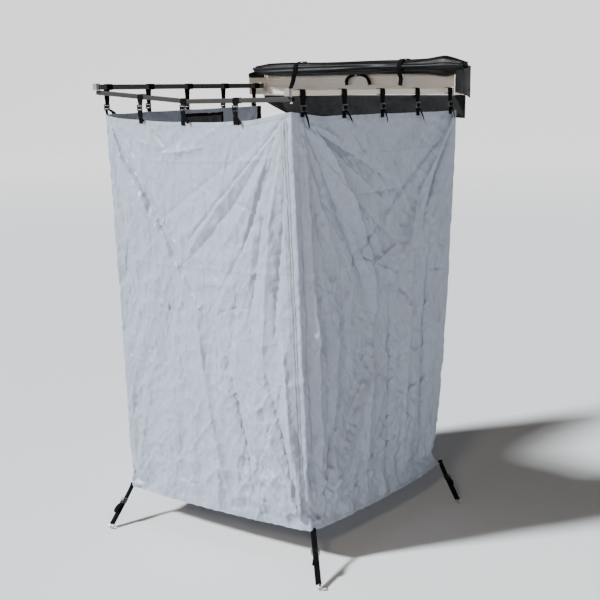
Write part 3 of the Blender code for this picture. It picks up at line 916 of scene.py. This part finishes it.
def band(name, grid, normal, width, thick, body, material):
    """A sewn band that lies on a strip of the wall's grid and stands a little proud on both sides."""
    rows, wide = grid.shape[:2]
    outer = grid + normal * thick / 2
    inner = grid - normal * thick / 2
    both = np.concatenate([outer.reshape(-1, 3), inner.reshape(-1, 3)])
    count = rows * wide
    faces = []
    for r in range(rows - 1):
        for c in range(wide - 1):
            i = r * wide + c
            faces.append((i, i + wide, i + wide + 1, i + 1))
            j = i + count
            faces.append((j, j + 1, j + wide + 1, j + wide))
    for c in range(wide - 1):
        faces.append((c, c + 1, c + 1 + count, c + count))
        i = (rows - 1) * wide + c
        faces.append((i + 1, i, i + count, i + 1 + count))
    for r in range(rows - 1):
        i = r * wide
        faces.append((i + wide, i, i + count, i + wide + count))
        i = r * wide + wide - 1
        faces.append((i, i + wide, i + wide + count, i + count))
    mesh = bpy.data.meshes.new(name)
    mesh.from_pydata(both.tolist(), [], faces)
    mesh.update()
    set_uv(
        mesh,
        lambda i: (i % count % wide) * BAND_UV_STEP,
        lambda i: (i % count // wide) * width / max(rows - 1, 1),
    )
    smooth(mesh, 60)
    return add_piece(name, mesh, body, material)


# walls: piece, CAD node, body, first and last column in wall widths, and the cloth's thin axis
# and the arm's side
WALLS = (
    ("left_wall_cloth", "left_wall", "left_arm", 0, 1, (1, 0, 0), "left"),
    ("outer_wall_cloth_left", "outer_wall_left", "left_rail", 1, 1.5, (0, 1, 0), "left"),
    ("outer_wall_cloth_right", "outer_wall_right", "right_rail", 1.5, 2, (0, 1, 0), "right"),
    ("right_wall_cloth", "right_wall", "right_arm", 2, 3, (1, 0, 0), "right"),
)


def make_trim(name, body, cloth, skin):
    """(hems, stitching) along a wall's top and bottom edges."""
    hem_rows = max(2, round(HEM_WIDTH / WALL_HEIGHT * (cloth.shape[0] - 1))) + 1
    hems = []
    for label, rows in (("top", slice(0, hem_rows)), ("bottom", slice(-hem_rows, None))):
        piece = f"{name}_{label}_hem"
        hems.append(band(piece, cloth[rows], skin[rows], HEM_WIDTH, HEM_THICK, body, MAT["hem"]))
    seams = []
    for label, row in (("top", hem_rows - 2), ("bottom", -hem_rows + 1)):
        seams.append(stitches(f"{name}_{label}_stitching", cloth[row], skin[row], 0.0012, body))
    return hems, seams


def make_wall(name, node, body, cloth, skin, first, columns):
    """One wall's cloth and its trim, all tied to the CAD solid that it stands for."""
    mesh = grid_mesh(name, cloth)
    rows, wide = cloth.shape[:2]
    set_uv(
        mesh,
        lambda i: (i % wide + first % columns) / columns * WALL_WIDTH,
        lambda i: (i // wide) / (rows - 1) * WALL_HEIGHT,
    )
    copy_normals(mesh, skin)
    looks = (MAT["fabric"], MAT["mesh"], MAT["binding"], MAT["patch"])
    obj = add_piece(name, mesh, body, looks)
    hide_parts(node)
    if name == "left_wall_cloth":
        paint_vent(mesh, columns)
    hems, seams = make_trim(name, body, cloth, skin)
    if name == "outer_wall_cloth_right":
        seams += make_zip(cloth, skin, body)
    if name == "left_wall_cloth":
        part = slice(0, EDGE_TAPE_COLUMNS)
        tape = band("left_wall_edge_tape", cloth[:, part], skin[:, part], WALL_HEIGHT, 0.0026, body,
                    MAT["binding"])
        seams.append(tape)
    return [obj, *hems, *seams]


def make_walls():
    """All the walls: (the skirt's points, its normals, columns in a wall, pieces).

    Each piece comes with its thin axis and the side of its arm.
    """
    grid, columns = build_skirt()
    normal = grid_normals(grid)
    pieces = []
    for name, node, body, start, end, axis, side in WALLS:
        first = round(start * columns)
        part = slice(first, round(end * columns) + 1)
        made = make_wall(name, node, body, grid[:, part], normal[:, part], first, columns)
        pieces += [(each, axis, side) for each in made]
    return grid, normal, columns, pieces


def make_zip(grid, normal, body):
    """The door's zip beside the corner: a doubled tape, stitched on both edges, and its coil."""
    low, high = box_of("zip_slider")
    middle = (low.x + high.x) / 2
    foot = grid[-12]
    column = int(np.argmin(np.abs(foot[:, 0] - middle)))
    column = max(4, min(grid.shape[1] - 5, column))
    rows = slice(6, grid.shape[0] - 6)
    made = []
    for name, part, thick, look in (
        ("zip_tape", slice(column - 3, column + 4), 0.0030, MAT["patch"]),
        ("zip_coil", slice(column, column + 2), 0.0052, MAT["grey_plastic"]),
    ):
        made.append(band(name, grid[rows, part], normal[rows, part], ZIP_HEIGHT, thick, body, look))
    for label, at in (("left", column - 3), ("right", column + 3)):
        made.append(stitches(f"zip_{label}_stitching", grid[rows, at], normal[rows, at], 0.0018, body))
    return made


def paint_vent(mesh, columns):
    """A vent of black netting near the left wall's top, bound with tape on all sides."""
    start = round(0.26 * columns)
    end = round(0.53 * columns)
    top, foot = 4, 62
    edge = 3
    for polygon in mesh.polygons:
        row, column = divmod(polygon.vertices[0], columns + 1)
        if not (top <= row < foot and start <= column < end):
            continue
        border = row < top + edge or row >= foot - edge or column < start + edge or column >= end - edge
        polygon.material_index = 2 if border else 1


def stitches(name, line, line_normal, lift, body):
    """A row of short stitches along a line of points, each a small bar of thread."""
    bm = bmesh.new()
    points = [Vector(p) for p in line]
    normals = [Vector(n) for n in line_normal]
    for i in range(len(points) - 1):
        start = points[i] + normals[i] * lift
        end = points[i] + (points[i + 1] - points[i]) * 0.62 + normals[i + 1] * lift
        along = (end - start).normalized()
        side = along.cross(normals[i]).normalized() * THREAD_HALF
        up = normals[i] * THREAD_HALF
        ring_a = [bm.verts.new(start + o) for o in (side, up, -side, -up)]
        ring_b = [bm.verts.new(end + o) for o in (side, up, -side, -up)]
        join_rings(bm, ring_a, ring_b)
        bm.faces.new(ring_a[::-1])
        bm.faces.new(ring_b)
    return add_piece(name, finish_mesh(bm, name), body, MAT["thread"])


# ---------------------------------------------------------------- hanging straps
def tube_of(name):
    """(centre height, half side) of the tube a strap hangs from, read at the strap."""
    kind = name.split("_")[0]
    if kind == "rail":
        return box_of(f"strap_{name}")[1].z - 0.0021 - RAIL_HALF, RAIL_HALF
    low, high = box_of(f"{kind}_arm_tube")
    return (low.z + high.z) / 2, (high.z - low.z) / 2


def strap_loop(face, out, level, half):
    """(route, widths) of the webbing over the tube, both legs drawn into the buckle at face."""
    clear = half + 0.0012
    axis = face - out * (clear + 0.0004)
    top = level + clear

    def at(across, z):
        return Vector((axis.x, axis.y, z)) + out * across

    profile = [
        face + UP * 0.010,
        at(clear + 0.0014, level - half * 1.1),
        at(clear, level + half * 0.5),
        at(half * 0.80, top),
        at(-half * 0.80, top),
        at(-clear, level + half * 0.6),
        at(-clear, level - half * 0.6),
        at(-half * 0.75, level - clear),
        at(half * 0.55, level - clear),
        at(clear - 0.0010, level - half * 1.5),
        face + UP * 0.016 - out * 0.0018,
        face + UP * 0.008 - out * 0.0022,
    ]
    route = catmull(profile, 5)
    foot = face.z + 0.012
    rise = level - half - foot
    widths = [WEB_WIDTH * (0.90 + 0.50 * min(1.0, max(0.0, (p.z - foot) / rise))) for p in route]
    return route, widths


def strap_tail(face, out, sway, drift, length):
    """The loose end, which hangs away from the wall and drifts to one side."""
    root = face - UP * 0.010 + out * 0.0055
    return catmull(
        [
            root,
            root + out * 0.005 - UP * 0.010 + sway * drift * 0.3,
            root + out * 0.008 - UP * (length * 0.55) + sway * drift,
            root + out * 0.005 - UP * length + sway * drift * 2.0,
        ],
        5,
    )


def make_strap(name, grid, normal, columns):
    """Webbing over the tube, both legs drawn into the buckle, then a tab on the wall and a tail."""
    rng = random.Random(name)
    kind = name.split("_")[0]
    out = OUTWARD[kind]
    along = out.cross(UP)
    face = buckle_centre(name) - out * 0.0036
    level, half = tube_of(name)
    loop, widths = strap_loop(face, out, level, half)
    panel, share = tab_share(name)
    column = round((panel + share) * columns)
    edge_point = Vector(grid[0, column])
    tab_low = Vector(grid[3, column])
    skin = Vector(normal[5, column])
    if skin.dot(out) < 0:
        skin = -skin
    lift = skin * 0.0030
    lower = [
        face - UP * 0.009 - out * 0.0006,
        face.lerp(edge_point, 0.55) + out * 0.0004,
        edge_point + lift + UP * 0.003,
        tab_low + lift,
    ]
    tongue = [
        face + UP * 0.0065 + out * 0.0005,
        face + UP * 0.0045 + out * 0.0068,
        face - UP * 0.0045 + out * 0.0068,
        face - UP * 0.0065 + out * 0.0005,
    ]
    drift = rng.uniform(0.010, 0.022)
    length = rng.uniform(0.045, 0.065)
    sway = along if kind != "left" else -along
    if sway.dot(Vector((1, 0.6, 0))) < 0:
        sway = -sway
    tail = strap_tail(face, out, sway, drift, length)
    twist = [along.lerp(along + out * 0.5, k / (len(tail) - 1)) for k in range(len(tail))]
    strips = [
        (loop, along, widths, WEB_THICK),
        (catmull(lower, 5), along, WEB_WIDTH, WEB_THICK),
        (catmull(tongue, 4), along, WEB_WIDTH * 0.96, WEB_THICK),
        (tail, twist, WEB_WIDTH * 0.70, WEB_THICK),
    ]
    mesh = ribbon_mesh(f"strap_{name}_webbing", strips)
    obj = add_piece(mesh.name, mesh, NODE_BODY[f"strap_{name}"], MAT["webbing"])
    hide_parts(f"strap_{name}")


# ---------------------------------------------------------------- ground straps
def average(points):
    """The middle of several points."""
    return sum(points, Vector()) / len(points)


def make_ground_strap(letter):
    """Ground strap: sewn to the corner, through a slider, round the ring and back as a tail."""
    node = f"ground_strap_{letter}"
    points = [v.co.copy() for v in frame["nodes"][node].data.vertices]
    high = max(p.z for p in points)
    low = min(p.z for p in points)
    start = average([p for p in points if p.z > high - 0.006])
    end = average([p for p in points if p.z < low + 0.006])
    along = (end - start).normalized()
    side = along.cross(UP).normalized()
    up = side.cross(along)
    if up.z < 0:
        up = -up
    reach = (end - start).length
    ring_bar = end + along * 0.0035
    main = [
        start - along * 0.012 + UP * 0.012,
        start + up * 0.001,
        start + along * reach * 0.5 - up * 0.003,
        ring_bar - along * 0.012 - up * 0.0024,
        ring_bar + along * 0.0035 - up * 0.0026,
        ring_bar + along * 0.0062,
        ring_bar + along * 0.0035 + up * 0.0028,
        ring_bar - along * 0.012 + up * 0.0022,
        ring_bar - along * reach * 0.30 + up * 0.0030,
        start + along * reach * 0.42 + up * 0.0040,
    ]
    root = start + along * reach * 0.42 + up * 0.0062
    tail = [
        root + along * 0.010,
        root + along * 0.030 + up * 0.012,
        root + along * 0.052 + up * 0.010 + side * 0.006,
        root + along * 0.066 - up * 0.002 + side * 0.010,
    ]
    strips = [
        (catmull(main, 6), side, WEB_WIDTH, WEB_THICK),
        (catmull(tail, 6), side, WEB_WIDTH * 0.94, WEB_THICK),
    ]
    mesh = ribbon_mesh(f"{node}_webbing", strips)
    obj = add_piece(mesh.name, mesh, NODE_BODY[node], MAT["webbing"])
    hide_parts(node)
    make_slider(letter, start + along * reach * 0.40 + up * 0.0030, along, side, up, NODE_BODY[node])


def add_bar(bm, a, b, radius):
    """A round bar from a to b."""
    direction = (b - a).normalized()
    first = direction.orthogonal().normalized()
    second = direction.cross(first)
    turns = [2 * math.pi * k / 10 for k in range(10)]
    rings = []
    for point in (a, b):
        offsets = [first * radius * math.cos(t) + second * radius * math.sin(t) for t in turns]
        rings.append([bm.verts.new(point + offset) for offset in offsets])
    join_rings(bm, rings[0], rings[1])
    bm.faces.new(rings[0][::-1])
    bm.faces.new(rings[1])


def make_slider(letter, centre, along, side, up, body):
    """Ladder-lock slider: a rounded frame with two bars across it."""
    bm = bmesh.new()
    half_width, half_length, thick = 0.0165, 0.0125, 0.0022
    corners = [
        centre + side * sx * half_width + along * sy * half_length
        for sx, sy in ((1, 1), (-1, 1), (-1, -1), (1, -1))
    ]
    for i in range(4):
        add_bar(bm, corners[i], corners[(i + 1) % 4], thick)
    reach = side * half_width
    add_bar(bm, centre + reach, centre - reach, thick * 0.9)
    raised = centre + up * 0.003
    add_bar(bm, raised + reach * 0.9, raised - reach * 0.9, thick * 0.7)
    mesh = finish_mesh(bm, f"ground_slider_{letter}")
    smooth(mesh, 50)
    add_piece(mesh.name, mesh, body, MAT["black_plastic"])


# ---------------------------------------------------------------- cover, flap, ends and ties
def roll_point(along, angle, centre_y):
    """(y, z) on the rolled cover's skin, at a share of its length and an angle round it."""
    end = min(along, 1 - along)
    fade = min(1.0, 0.62 + 5.5 * end) if end < 0.07 else 1.0
    bulge = 0.012 * math.exp(-(((along - 0.93) / 0.055) ** 2))
    fold = 0.0030 * math.sin(5 * angle + 2.2 * math.sin(5 * along))
    fold += 0.0016 * math.sin(11 * angle + 7 * along)
    gather = 0.0022 * math.sin(26 * along + 3 * math.sin(angle)) * math.exp(-end * 9)
    spiral = 0.0045 * math.exp(-(((angle - 4.2 - 0.15 * math.sin(6 * along)) / 0.12) ** 2))
    skin = fold + gather - spiral
    depth = (0.054 + bulge * 0.4) * fade + skin
    tall = (0.033 + 0.002 * math.sin(9 * along)) * fade + bulge + skin * 0.8
    return centre_y + depth * math.cos(angle), COVER_LEVEL + tall * math.sin(angle)


def close_roll(bm, ring, inward):
    """A gathered, swirled end on the roll. inward is the direction into the roll along x."""
    sides = len(ring)
    middle = average([v.co for v in ring])
    previous = ring
    for step, (share, push) in enumerate(((0.93, -0.004), (0.7, -0.006), (0.45, 0.001), (0.2, 0.007))):
        now = []
        for i, vert in enumerate(ring):
            place = middle + (vert.co - middle) * share
            swirl = math.sin(8 * math.pi * i / sides + step * 1.1)
            place.x += inward * push + inward * 0.002 * swirl
            now.append(bm.verts.new(place))
        join_rings(bm, previous, now)
        previous = now
    bm.faces.new(previous)


def make_cover():
    """The rolled cover: a lofted roll with lengthwise folds, fuller at its right end."""
    low, high = box_of("cover_roll")
    centre_y = (low.y + high.y) / 2
    stations, sides = 150, 72
    bm = bmesh.new()
    rings = []
    for s in range(stations + 1):
        along = s / stations
        x = low.x + along * (high.x - low.x)
        ring = [(x, *roll_point(along, 2 * math.pi * i / sides, centre_y)) for i in range(sides)]
        rings.append([bm.verts.new(point) for point in ring])
    for a, b in zip(rings, rings[1:]):
        join_rings(bm, a, b)
    close_roll(bm, rings[0], 1)
    close_roll(bm, rings[-1], -1)
    mesh = finish_mesh(bm, "cover_roll_cloth")
    smooth(mesh, 60)
    obj = add_piece("cover_roll_cloth", mesh, "casing", MAT["pvc"])
    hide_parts("cover_roll")


def drape_strip(name, top, drop_at, across, wave, seed):
    """A hanging sheet of cover cloth. drop_at gives how far it hangs at a share of its top edge."""
    rng = random.Random(seed)
    phase = [rng.uniform(0, 6.28) for _ in range(4)]
    rows = 16
    bm = bmesh.new()
    grid = []
    for r in range(rows + 1):
        share = r / rows
        line = []
        for c, point in enumerate(top):
            t = c / (len(top) - 1)
            ripple = math.sin(14 * t + phase[0]) + 0.6 * math.sin(33 * t + phase[1])
            ripple += 0.4 * math.sin(7 * t + phase[2])
            place = Vector(point) - UP * (drop_at(t) * share) + across * (wave * share * ripple)
            line.append(bm.verts.new(place))
        grid.append(line)
    for a, b in zip(grid, grid[1:]):
        for c in range(len(top) - 1):
            bm.faces.new((a[c], a[c + 1], b[c + 1], b[c]))
    mesh = finish_mesh(bm, name, closed=False)
    mesh.shade_smooth()
    obj = add_piece(name, mesh, "casing", MAT["pvc"])
    step = obj.modifiers.new("thickness", "SOLIDIFY")
    step.thickness = COVER_THICK
    step.offset = 0.0
    return obj


def make_flap():
    """The cover's front flap, which hangs in front of the casing and is shorter at its left end."""
    low, high = box_of("cover_flap")
    width = high.x - low.x
    height = (high.z - low.z) * 1.12
    count = 160

    def drop_at(t):
        return height * (1 - 0.06 * math.sin(9 * t) ** 2) * (0.28 + 0.72 * min(1.0, 7 * t))

    top = [(low.x + width * k / count, high.y - 0.003, high.z) for k in range(count + 1)]
    obj = drape_strip("cover_flap_cloth", top, drop_at, Vector((0, 1, 0)), wave=0.0022, seed=5)
    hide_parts("cover_flap")


def make_end_covers():
    """The cover's ends, tucked round each end plate and hanging a little below it."""
    count = 26
    for sign, side, drop in ((-1, "left", 0.135), (1, "right", 0.150)):
        low, high = box_of(f"end_plate_{side}")
        x = sign * (max(abs(low.x), abs(high.x)) + 0.004)
        top = []
        for k in range(count + 1):
            t = k / count
            bow = sign * 0.004 * math.sin(math.pi * t)
            top.append((x + bow, -0.003 - 0.127 * t, 0.098 - 0.018 * t * t))
        drape_strip(
            f"cover_end_{side}",
            top,
            lambda t, drop=drop: drop * (1 - 0.30 * t),
            Vector((sign, 0, 0)),
            wave=0.0005,
            seed=11 + sign,
        )


def make_handle():
    """The carry handle: a padded webbing arch held by a rivet at its crown and one at each foot."""
    low, high = box_of("carry_handle")
    front = low.y + 0.010
    middle = (low.x + high.x) / 2
    route = []
    for k in range(25):
        angle = math.pi * k / 24
        reach = 0.075 * math.copysign(abs(math.cos(angle)) ** 0.7, math.cos(angle))
        rise = 0.050 * math.sin(angle) ** 0.8
        route.append(Vector((middle - reach, front + 0.006 * (1 - math.sin(angle)), 0.014 + rise)))
    mesh = ribbon_mesh("carry_handle_webbing", [(route, Vector((0, 1, 0)), 0.024, 0.0105)])
    obj = add_piece("carry_handle_webbing", mesh, "casing", MAT["webbing"])
    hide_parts("carry_handle")
    bm = bmesh.new()
    for x, z in ((middle, 0.0635), (middle - 0.074, 0.020), (middle + 0.074, 0.020)):
        add_bead(bm, 0.0055, (1, 0.45, 1), (x, front - 0.0125, z))
    rivets = finish_mesh(bm, "carry_handle_rivets")
    smooth(rivets, 50)
    add_piece("carry_handle_rivets", rivets, "casing", MAT["steel"])


def make_ties():
    """Webbing ties round the rolled cover, their ends hanging in front of the casing."""
    low, high = box_of("cover_roll")
    centre_y = (low.y + high.y) / 2
    for number, (x, lean, drop) in enumerate(((-0.335, -0.075, 0.105), (0.335, -0.020, 0.075)), 1):
        route = []
        for step in range(15):
            angle = math.radians(20 + 182 * step / 14)
            y = centre_y + 0.0595 * math.cos(angle)
            route.append(Vector((x, y, COVER_LEVEL + 0.0395 * math.sin(angle))))
        foot = route[-1]
        route.append(foot + Vector((lean * 0.25, 0.010, -drop * 0.28)))
        route.append(foot + Vector((lean * 0.62, 0.031, -drop * 0.54)))
        route.append(foot + Vector((lean, 0.036, -drop)))
        strip = (catmull(route, 3), Vector((1, 0, 0)), WEB_WIDTH, WEB_THICK)
        mesh = ribbon_mesh(f"cover_tie_{number}", [strip])
        add_piece(mesh.name, mesh, "casing", MAT["webbing"])
    for number, x in enumerate((-0.32, 0.30), 1):
        bm = bmesh.new()
        add_bead(bm, 0.008, (1.6, 1.0, 0.6), (x, centre_y + 0.010, 0.1345))
        mesh = finish_mesh(bm, f"cover_stud_{number}")
        smooth(mesh, 50)
        add_piece(mesh.name, mesh, "casing", MAT["black_plastic"])


# ---------------------------------------------------------------- CAD pieces get their finish
def dress_cad():
    """The CAD pieces that are shown get the finish of their metal or plastic; the left arm's tube gets
    a copy of the arm aluminium darkened with painted shade.
    """
    choose = {
        "back_plate": "champagne",
        "end_plate_left": "champagne",
        "end_plate_right": "champagne",
        "right_arm_tube": "champagne_arm",
        # painted shade: the left arm's tube gets a darkened copy of the arm aluminium
        "left_arm_tube": "arm_painted_shade",
        "left_rail": "bronze_rail",
        "right_rail": "bronze_rail",
        "left_arm_cap": "grey_plastic",
        "right_arm_cap": "grey_plastic",
        "carry_handle": "black_plastic",
    }
    for name, obj in frame["nodes"].items():
        other = "black_plastic" if name.startswith("buckle") else "steel"
        obj.data.materials.clear()
        obj.data.materials.append(MAT[choose.get(name, other)])


# ---------------------------------------------------------------- stage, lights, camera
def floor_material():
    """A pale matt floor that glows more and more toward its far edge."""
    pale = Nodes("studio_pale", FLOOR_GREY, 0.9)
    where = pale.add("TexCoord")
    radius = pale.add("VectorMath", operation="LENGTH")
    pale.link(where, "Object", radius, 0)
    far = pale.add("MapRange", interpolation_type="SMOOTHSTEP")
    pale.link(radius, "Value", far, "Value")
    pale.set(far, "From Min", 9.0)
    pale.set(far, "From Max", 27.0)
    tint = pale.mix_color(far, "Result", FLOOR_GREY, (0.02, 0.02, 0.02))
    glow = pale.math("MULTIPLY", (far, "Result"), 1.45)
    pale.set(pale.shader, "Emission Color", (1, 1, 1, 1))
    pale.link(glow, "Value", pale.shader, "Emission Strength")
    return pale.done(color=tint)


def make_stage():
    """A round pale floor that turns up into a low wall, the same from every side."""
    ground = min(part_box(f"ground_ring_{corner}")[0][2] for corner in "abcd") - 0.001
    profile = [(2.0, 0.0), (8.0, 0.0), (28.0, 0.0)]
    for k in range(1, 13):
        angle = math.pi / 2 * k / 12
        profile.append((28 + 4 * math.sin(angle), 4 * (1 - math.cos(angle))))
    profile.append((32, 7.5))
    turns = [2 * math.pi * k / 96 for k in range(96)]
    bm = bmesh.new()
    rows = []
    for r, z in profile:
        rows.append([bm.verts.new((r * math.cos(t), r * math.sin(t), ground + z)) for t in turns])
    bm.faces.new(rows[0])
    for a, b in zip(rows, rows[1:]):
        join_rings(bm, b, a)
    mesh = finish_mesh(bm, "studio_floor", closed=False)
    mesh.shade_smooth()
    floor = bpy.data.objects.new("studio_floor", mesh)
    bpy.context.scene.collection.objects.link(floor)
    mesh.materials.append(floor_material())


def add_light(kind, name, place, forward, color, energy):
    """A new lamp that shines along a direction; its data is returned."""
    data = bpy.data.lights.new(name, kind)
    data.energy = energy
    data.color = color
    obj = bpy.data.objects.new(name, data)
    obj.location = place
    obj.rotation_euler = Vector(forward).to_track_quat("-Z", "Y").to_euler()
    bpy.context.scene.collection.objects.link(obj)
    return data


def make_lights():
    """A low sun from the front left, a weak warm lamp beside the right wall, and a dim sky."""
    sun = add_light("SUN", "key", (0, 0, 0), (0.42, 0.72, -0.68), (0.93, 0.97, 1.0), 10.0)
    sun.angle = math.radians(7)
    place = Vector((2.3, -4.6, 0.6))
    target = Vector((0.6, -0.5, -1.0))
    side = add_light("AREA", "side", place, target - place, (1.0, 0.86, 0.72), 60)
    side.size = 0.6
    world = bpy.data.worlds.new("studio_world")
    world.use_nodes = True
    sky = world.node_tree.nodes["Background"]
    sky.inputs["Color"].default_value = (0.93, 0.95, 1.0, 1)
    sky.inputs["Strength"].default_value = 0.05
    bpy.context.scene.world = world


def make_camera():
    """The camera, turned by its yaw, pitch and roll."""
    data = bpy.data.cameras.new("photo_camera")
    data.lens = CAMERA_LENS
    data.sensor_width = 36.0
    data.clip_end = 60
    level = math.cos(CAMERA_PITCH)
    forward = Vector(
        (-math.sin(CAMERA_YAW) * level, math.cos(CAMERA_YAW) * level, math.sin(CAMERA_PITCH))
    )
    right = Vector((math.cos(CAMERA_YAW), math.sin(CAMERA_YAW), 0))
    up = right.cross(forward)
    rolled_right = right * math.cos(CAMERA_ROLL) + up * math.sin(CAMERA_ROLL)
    rolled_up = up * math.cos(CAMERA_ROLL) - right * math.sin(CAMERA_ROLL)
    turn = Matrix((rolled_right, rolled_up, -forward)).transposed().to_4x4()
    obj = bpy.data.objects.new("photo_camera", data)
    obj.matrix_world = Matrix.Translation(CAMERA_PLACE) @ turn
    bpy.context.scene.collection.objects.link(obj)
    bpy.context.scene.camera = obj


# ---------------------------------------------------------------- the whole scene
make_camera()
make_stage()
make_lights()
dress_cad()
skirt, skirt_normal, skirt_columns, wall_pieces = make_walls()
for strap_name in STRAP_NAMES:
    make_strap(strap_name, skirt, skirt_normal, skirt_columns)
for corner in "abcd":
    make_ground_strap(corner)
make_cover()
make_flap()
make_end_covers()
make_handle()
make_ties()
for piece, thin_axis, arm_side in wall_pieces:
    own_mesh(piece)
